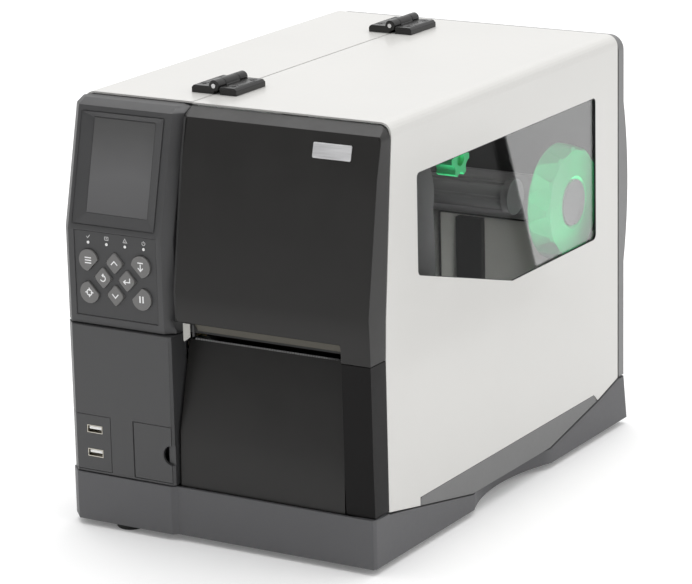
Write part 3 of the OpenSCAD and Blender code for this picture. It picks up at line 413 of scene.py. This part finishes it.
def new_piece(name, verts, faces, material, body, slot=None):
    """A flat-shaded mesh that rides on a body. The slot argument is not used."""
    mesh = bpy.data.meshes.new(name)
    mesh.from_pydata([tuple(v) for v in verts], [], faces)
    mesh.validate()
    bm = bmesh.new()
    bm.from_mesh(mesh)
    bmesh.ops.recalc_face_normals(bm, faces=bm.faces)
    bm.to_mesh(mesh)
    bm.free()
    mesh.materials.append(material)
    o = bpy.data.objects.new(name, mesh)
    bpy.context.scene.collection.objects.link(o)
    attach(o, body)


def prism(outline, place, depth):
    """Vertices and faces of a flat outline given a thickness. place turns (u, v, w) into a point."""
    n = len(outline)
    verts = [place(u, v, 0) for u, v in outline] + [place(u, v, depth) for u, v in outline]
    faces = [list(range(n)), list(range(2 * n - 1, n - 1, -1))]
    faces += [[i, (i + 1) % n, n + (i + 1) % n, n + i] for i in range(n)]
    return verts, faces


def joined(parts):
    verts, faces = [], []
    for v, f in parts:
        faces += [[i + len(verts) for i in face] for face in f]
        verts += v
    return verts, faces


SHARPEST_MITRE = 0.35


def stroke(points, width):
    """Outline of a line of that width along the points, with mitred corners."""
    left, right = [], []
    for i, p in enumerate(points):
        p = Vector(p)
        before = (p - Vector(points[i - 1])).normalized() if i else None
        after = (Vector(points[i + 1]) - p).normalized() if i < len(points) - 1 else before
        along = ((before or after) + after).normalized()
        normal = Vector((-along.y, along.x))
        reach = width / 2 / max(SHARPEST_MITRE, abs(normal.dot(Vector((-after.y, after.x)))))
        left.append(p + normal * reach)
        right.append(p - normal * reach)
    return [tuple(p) for p in left + right[::-1]]


def arc(cx, cy, r, start, end, steps):
    angles = [math.radians(start + (end - start) * i / steps) for i in range(steps + 1)]
    return [(cx + r * math.cos(a), cy + r * math.sin(a)) for a in angles]


def disc(cx, cy, r, sides=10):
    return arc(cx, cy, r, 0, 360 - 360 / sides, sides - 1)


# ---- Pictograms on the keys and beside the lamps ----

LINE, PAUSE_BAR, FINE = 0.9, 1.3, 0.55
QUARTERS = [i * math.pi / 2 for i in range(4)]


def ray(angle, start, end):
    """A line from one radius to another."""
    return [(math.cos(angle) * radius, math.sin(angle) * radius) for radius in (start, end)]


def closed(*points):
    return [*points, points[0]]


# Outlines in millimetres about the middle of the key or mark, to the right and up.
PICTOGRAMS = {
    "menu": [stroke([(-3, v), (3, v)], LINE) for v in (-2.1, 0, 2.1)],
    "feed": [
        stroke([(-2.6, 3.2), (2.6, 3.2)], LINE),
        stroke([(0, 2.2), (0, -2.9)], LINE),
        stroke([(-2.3, -0.8), (0, -3.2), (2.3, -0.8)], LINE),
    ],
    "calibrate": [
        stroke(arc(0, 0, 2.3, 0, 360, 28), LINE),
        *(stroke(ray(a, 1.3, 3.8), LINE) for a in QUARTERS),
    ],
    "pause": [stroke([(u, -2.7), (u, 2.7)], PAUSE_BAR) for u in (-1.4, 1.4)],
    "up": [stroke([(-2.9, -1.3), (0, 1.7), (2.9, -1.3)], LINE)],
    "down": [stroke([(-2.9, 1.3), (0, -1.7), (2.9, 1.3)], LINE)],
    "back": [
        stroke(arc(0, -0.2, 2.4, -150, 100, 22), LINE),
        stroke([(0.9, 3.4), (-0.6, 2.2), (0.7, 0.8)], LINE),
    ],
    "enter": [
        stroke([(2.8, 2.6), (2.8, -0.8), (-2.7, -0.8)], LINE),
        stroke([(-0.9, 0.9), (-2.9, -0.8), (-0.9, -2.5)], LINE),
    ],
}
LAMP_MARKS = {
    "ready": [stroke([(-1.6, 0.1), (-0.4, -1.2), (1.8, 1.4)], FINE)],
    "media": [stroke(closed((-1.7, -1.3), (1.7, -1.3), (1.7, 1.3), (-1.7, 1.3)), FINE), disc(0, 0, 0.5)],
    "fault": [stroke(closed((-1.9, -1.4), (1.9, -1.4), (0, 1.8)), FINE), disc(0, -0.5, 0.35)],
    "power": [stroke(arc(0, -0.1, 1.5, 125, 415, 22), FINE), stroke([(0, 0.2), (0, 2.0)], FINE)],
}
MARK_RISE, MARK_SCALE = 4.6, 0.95
INK_T, INK_STEP = 0.04, 0.003


def front_mark(name, shapes, x, z, y, ink, body, scale=1.0):
    """Printed shapes, each a hair thicker than the last, on a face that looks towards -Y."""
    def place(u, v, w):
        return (x + u * scale * MM, y - w * MM, z + v * scale * MM)
    parts = [prism(shape, place, INK_T + INK_STEP * i) for i, shape in enumerate(shapes)]
    new_piece(name, *joined(parts), ink, body)


for key, shapes in PICTOGRAMS.items():
    lo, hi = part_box(f"{key}_button")
    x, z = (lo.x + hi.x) / 2, (lo.z + hi.z) / 2
    front_mark(f"{key}_pictogram", shapes, x, z, lo.y, WHITE_INK, f"{key}_key")

lamps_lo, lamps_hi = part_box("indicator_leds")
lamp_r = (lamps_hi.z - lamps_lo.z) / 2
lamp_pitch = (lamps_hi.x - lamps_lo.x - 2 * lamp_r) / (len(LAMP_MARKS) - 1)
mark_z = lamps_lo.z + lamp_r + MARK_RISE * MM
film_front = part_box("keypad_plate")[0].y
for i, (mark, shapes) in enumerate(LAMP_MARKS.items()):
    x = lamps_lo.x + lamp_r + i * lamp_pitch
    front_mark(f"{mark}_mark", shapes, x, mark_z, film_front, GREY_INK, "frame", MARK_SCALE)


# ---- Window: black liner on the cut edge of the sheet ----

side_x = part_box("door_shell")[1].x
# Y and Z of the corners of the opening in the door's side sheet, and the radius at each.
WINDOW = [(-143.3, 296), (154, 296), (154.5, 176), (7, 176), (-143.5, 217)]
WINDOW_ROUND = (4, 4, 5, 6, 5)
LINER_GAP, LINER_EDGE, LINER_SUNK, LINER_DEPTH = 0.02, 0.45, 0.1, 1.35


def rounded(points, radii, steps=6):
    """The outline with an arc of the given radius in place of each corner."""
    out = []
    n = len(points)
    for i, r in enumerate(radii):
        a, b, c = (Vector(points[(i + k) % n]) for k in (-1, 0, 1))
        u, v = (a - b).normalized(), (c - b).normalized()
        half = u.angle(v) / 2
        centre = b + (u + v).normalized() * r / math.sin(half)
        p, q = b + u * r / math.tan(half) - centre, b + v * r / math.tan(half) - centre
        start = math.atan2(p.y, p.x)
        turn = (math.atan2(q.y, q.x) - start + math.pi) % (2 * math.pi) - math.pi
        out += [centre + r * Vector((math.cos(start + turn * k / steps), math.sin(start + turn * k / steps)))
                for k in range(steps + 1)]
    return out


def ring(outer, inner, place, depth):
    """The band between two outlines of as many points each, given a thickness."""
    n = len(outer)
    verts = [place(*p, w) for w in (0, depth) for loop in (outer, inner) for p in loop]
    faces = []
    for i in range(n):
        j = (i + 1) % n
        faces += [[i, j, n + j, n + i], [2 * n + i, 3 * n + i, 3 * n + j, 2 * n + j],
                  [i, 2 * n + i, 2 * n + j, j], [n + i, n + j, 3 * n + j, 3 * n + i]]
    return verts, faces


def inset(points, d):
    """The outline moved in by d along its corner bisectors."""
    n = len(points)
    out = []
    for i in range(n):
        a, b, c = (Vector(points[(i + k) % n]) for k in (-1, 0, 1))
        u, v = (b - a).normalized(), (c - b).normalized()
        across = Vector((u.y, -u.x))
        bisector = (across + Vector((v.y, -v.x))).normalized()
        out.append(b + bisector * d / bisector.dot(across))
    return out


def into_door(y, z, w):
    return side_x - (LINER_SUNK + w) * MM, y * MM, z * MM


outline = rounded(WINDOW, WINDOW_ROUND)
liner = ring(inset(outline, LINER_GAP), inset(outline, LINER_EDGE), into_door, LINER_DEPTH)
new_piece("window_liner", *liner, GASKET_AND_PAINTED_SHADE, "door", "platen_rubber")


def slab(name, x, y, z, material, body, slot, chamfer):
    """A plate with its edges broken, filling those ranges in millimetres."""
    bm = bmesh.new()
    bmesh.ops.create_cube(bm, size=1.0)
    for v in bm.verts:
        v.co = Vector([(r[0] + r[1]) / 2 + c * (r[1] - r[0]) for r, c in zip((x, y, z), v.co)]) * MM
    bmesh.ops.bevel(bm, geom=bm.edges[:], offset=chamfer * MM, segments=2, profile=0.7, affect="EDGES")
    verts = [v.co.copy() for v in bm.verts]
    faces = [[v.index for v in f.verts] for f in bm.faces]
    bm.free()
    new_piece(name, verts, faces, material, body, slot)


# ---- Rear of the media bay: liner, fan-fold flap and cable trunking ----

# Ranges in millimetres. Panels lie against the inside of the rear cover, a pale one below the flap and a
# dark one above it.
BAY_X, LINER_Y = (-34, 122), (196.9, 198.2)
FLAP_X, FLAP_Y, FLAP_Z = (-34, 110), (193.5, 198.6), (172, 208)
TRUNK_X, TRUNK_Y = (-15, 10), (189, 196.6)
BAY_LOW, TRUNK_LOW, BAY_TOP = 66, 60, 326
below_flap, above_flap = FLAP_Z[0] - 1, FLAP_Z[1] + 1
slab("rear_liner", BAY_X, LINER_Y, (BAY_LOW, below_flap), BAFFLE, "frame", "rear_coat", 0.4)
slab("fanfold_flap", FLAP_X, FLAP_Y, FLAP_Z, FLAP, "frame", "dark_plastic", 1.0)
slab("upper_dark_panel", BAY_X, LINER_Y, (above_flap, BAY_TOP), FLAP, "frame", "dark_plastic", 0.4)
slab("cable_trunk", TRUNK_X, TRUNK_Y, (TRUNK_LOW, below_flap), FLAP, "frame", "dark_plastic", 1.5)


# ---- Label slot: the door's undercut, painted lighter as painted reflection and black as painted shade, and the bracket at its left end ----

LIP_TOP, LIP_LOW = (-217.25, 177.9), (-212.05, 169.8)
LIP_T, LIP_X, LIP_SEAM = 0.12, (-15, 113), 0.2
# Share of the undercut, from its top, where the painted shade begins, and the gap before it.
SHADE_FROM, SHADE_GAP = 0.75, 0.01
DOOR_LEFT = -36.4
BRACKET_Y, BRACKET_T, CLIP_T = -217.4, 0.5, 0.4
# X and Z of the outlines of the bracket and of the clip beside it, seen from the front.
BRACKET_FRONT = [(-25.7, 177.6), (-25.7, 163.8), (-24.8, 163.3), (-19.4, 167.4), (-19.4, 177.6)]
CLIP_FRONT = [(-17.4, 177), (-17.4, 167.5), (-15.6, 168.5), (-15.6, 177)]


def on_lip(u, v, w):
    """A point on the undercut: u across it, v from 0 at its top edge to 1 at its foot, w proud of it."""
    a, b = Vector(LIP_TOP), Vector(LIP_LOW)
    out = Vector((b.y - a.y, a.x - b.x)).normalized()
    at = a + (b - a) * v + out * w
    return u * MM, at.x * MM, at.y * MM


def lip_band(name, x, v, material, slot):
    corners = [(x[0], v[0]), (x[1], v[0]), (x[1], v[1]), (x[0], v[1])]
    new_piece(name, *prism(corners, on_lip, LIP_T), material, "door", slot)


# The upper part of the undercut carries the painted reflection; black sheets over its foot and its left end
# are painted shade.
lip_band("lip_face", LIP_X, (0, SHADE_FROM - SHADE_GAP), LIP_PAINTED_REFLECTION, "door_plastic")
lip_band("lip_painted_shade", LIP_X, (SHADE_FROM, 1), GASKET_AND_PAINTED_SHADE, "platen_rubber")
lip_band("lip_end_painted_shade", (DOOR_LEFT, LIP_X[0] - LIP_SEAM), (0, 1), GASKET_AND_PAINTED_SHADE, "platen_rubber")


def on_bracket(u, v, w):
    return u * MM, (BRACKET_Y - w) * MM, v * MM


new_piece("lip_bracket", *prism(BRACKET_FRONT, on_bracket, BRACKET_T), BRACKET, "door", "spindle_plastic")
new_piece("bracket_clip", *prism(CLIP_FRONT, on_bracket, CLIP_T), FLAP, "door", "dark_plastic")


# ---- Painted shade on the door's left edge, beside the control housing ----

# The door's left edge is chamfered by 5 mm. A black sheet of painted shade covers most of the chamfer and
# stands a hair proud.
CHAMFER, SHADE_SHARE, SHADE_PROUD, SHADE_T = 5, 0.96, 0.1, 0.05
# Y and Z down the front edge of the door's cover.
DOOR_PROFILE = [(-195.2, 332.6), (-202, 303.4), (-218.3, 201), (-217.35, 178.4)]


def shade_edge(share, depth):
    """The painted shade's edge, that share of the way across the chamfer from its rear."""
    x = DOOR_LEFT + share * CHAMFER - SHADE_PROUD + depth
    return [(x * MM, (y + (1 - share) * CHAMFER - SHADE_PROUD + depth) * MM, z * MM) for y, z in DOOR_PROFILE]


shade_edges = [shade_edge(0, 0), shade_edge(SHADE_SHARE, 0), shade_edge(SHADE_SHARE, SHADE_T), shade_edge(0, SHADE_T)]
rows = len(DOOR_PROFILE)
shade_faces = [[k * rows + i, k * rows + i + 1, (k + 1) % 4 * rows + i + 1, (k + 1) % 4 * rows + i]
        for k in range(4) for i in range(rows - 1)]
shade_faces += [[k * rows for k in range(4)], [k * rows + rows - 1 for k in reversed(range(4))]]
new_piece("door_edge_painted_shade", sum(shade_edges, []), shade_faces, GASKET_AND_PAINTED_SHADE, "door", "platen_rubber")


# ---- Stage: floor, lamps and what the window mirrors ----

FLOOR_GLOW, FLOOR_COLOUR, FLOOR_REACH = 0.12, (0.96, 0.96, 0.96), 14.0


def plain_material(name):
    mat = bpy.data.materials.new(name)
    mat.use_nodes = True
    return mat, mat.node_tree.nodes["Principled BSDF"].inputs


def floor_material():
    mat, shader = plain_material("floor")
    tree = mat.node_tree
    noise, ramp = tree.nodes.new("ShaderNodeTexNoise"), tree.nodes.new("ShaderNodeValToRGB")
    noise.inputs["Scale"].default_value = 3
    ramp.color_ramp.elements[0].color = (*scaled(FLOOR_COLOUR, 0.995), 1)
    ramp.color_ramp.elements[1].color = (*FLOOR_COLOUR, 1)
    tree.links.new(noise.outputs["Fac"], ramp.inputs[0])
    tree.links.new(ramp.outputs[0], shader["Base Color"])
    shader["Emission Color"].default_value = (1, 1, 1, 1)
    shader["Emission Strength"].default_value = FLOOR_GLOW
    shader["Roughness"].default_value = 0.9
    shader["Specular IOR Level"].default_value = 0.1
    return mat


def card_material(name, strength):
    mat, shader = plain_material(name)
    shader["Base Color"].default_value = (0, 0, 0, 1)
    shader["Specular IOR Level"].default_value = 0
    shader["Emission Color"].default_value = (1, 1, 1, 1)
    shader["Emission Strength"].default_value = strength
    return mat


def stage_plane(name, corners, material):
    """A plane of the studio, which is not part of the machine."""
    mesh = bpy.data.meshes.new(name)
    mesh.from_pydata([tuple(c) for c in corners], [], [list(range(len(corners)))])
    mesh.materials.append(material)
    o = bpy.data.objects.new(name, mesh)
    bpy.context.scene.collection.objects.link(o)
    return o


floor_corners = [(x * FLOOR_REACH, y * FLOOR_REACH, 0) for x, y in ((-1, -1), (1, -1), (1, 1), (-1, 1))]
stage_plane("floor", floor_corners, floor_material())


def softbox(name, at, aim, size, power, spread=180):
    data = bpy.data.lights.new(name, "AREA")
    data.shape = "RECTANGLE"
    data.size, data.size_y = size
    data.energy = power
    data.spread = math.radians(spread)
    o = bpy.data.objects.new(name, data)
    o.location = at
    o.rotation_mode = "QUATERNION"
    o.rotation_quaternion = (Vector(aim) - Vector(at)).to_track_quat("-Z", "Y")
    bpy.context.scene.collection.objects.link(o)
    return o


AIM = (0, 0, 0.15)
BAY_MID = (0.04, 0.24)
BAY_LIGHT_GAP = 0.004
softbox("top_light", at=(-0.2, 0.4, 2.4), aim=AIM, size=(2.6, 2.6), power=32)
softbox("side_light", at=(2.6, 0.2, 1.4), aim=AIM, size=(1.6, 1.8), power=1)
bay_light = softbox("bay_light", at=(side_x + BAY_LIGHT_GAP, *BAY_MID), aim=(0, *BAY_MID), size=(0.2, 0.07),
                    power=0.75, spread=160)
bay_light.visible_camera = False
bay_light.visible_glossy = False
bay_light.visible_transmission = False


def smooth_fall(tree, value, from_lo, from_hi, to_lo, to_hi):
    n = tree.nodes.new("ShaderNodeMapRange")
    n.interpolation_type = "SMOOTHSTEP"
    for key, v in (("From Min", from_lo), ("From Max", from_hi), ("To Min", to_lo), ("To Max", to_hi)):
        n.inputs[key].default_value = v
    tree.links.new(value, n.inputs["Value"])
    return n.outputs["Result"]


def studio_world(bright, dark, overhead):
    """White behind and overhead, falling off towards the front, where a studio is dark."""
    world = bpy.data.worlds.new("studio")
    bpy.context.scene.world = world
    world.use_nodes = True
    tree = world.node_tree
    coords = tree.nodes.new("ShaderNodeTexCoord")
    axes = tree.nodes.new("ShaderNodeSeparateXYZ")
    both = tree.nodes.new("ShaderNodeMath")
    both.use_clamp = True
    tree.links.new(coords.outputs["Generated"], axes.inputs[0])
    tree.links.new(smooth_fall(tree, axes.outputs["Y"], -0.75, 0.1, dark, bright), both.inputs[0])
    tree.links.new(smooth_fall(tree, axes.outputs["Z"], 0.05, 0.45, 0.0, overhead), both.inputs[1])
    background = tree.nodes["Background"].inputs
    tree.links.new(both.outputs[0], background["Strength"])
    background["Color"].default_value = (1, 1, 1, 1)


studio_world(bright=0.76, dark=0.24, overhead=0.35)

MIRROR_GAP = 0.25
mirror_x = side_x + MIRROR_GAP


def mirrored(points):
    """Corners, on the plane of the cards, of what the window shows at these points of the window."""
    eye = Vector((2 * side_x - camera_at.x, camera_at.y, camera_at.z))
    out = []
    for y, z in points:
        at = Vector((side_x, y * MM, z * MM))
        sight = at - eye
        out.append(eye + sight * ((mirror_x - eye.x) / sight.x))
    return out


def card(name, points, strength):
    """A card that only gloss and glass see."""
    o = stage_plane(name, mirrored(points), card_material(name, strength))
    for kind in ("camera", "diffuse", "volume_scatter", "shadow"):
        setattr(o, f"visible_{kind}", False)


# Y and Z, in millimetres, of the part of the window that shows each card.
card("pale_card", [(1, 300), (190, 300), (190, 150), (64, 150)], 1.6)
card("dark_card", [(-23, 300), (1, 300), (64, 150), (41, 150)], 0.01)
card("dim_card", [(-190, 310), (-23, 310), (41, 150), (-190, 150)], 0.12)

bpy.context.scene.view_settings.view_transform = "Standard"
bpy.context.scene.view_settings.look = "None"
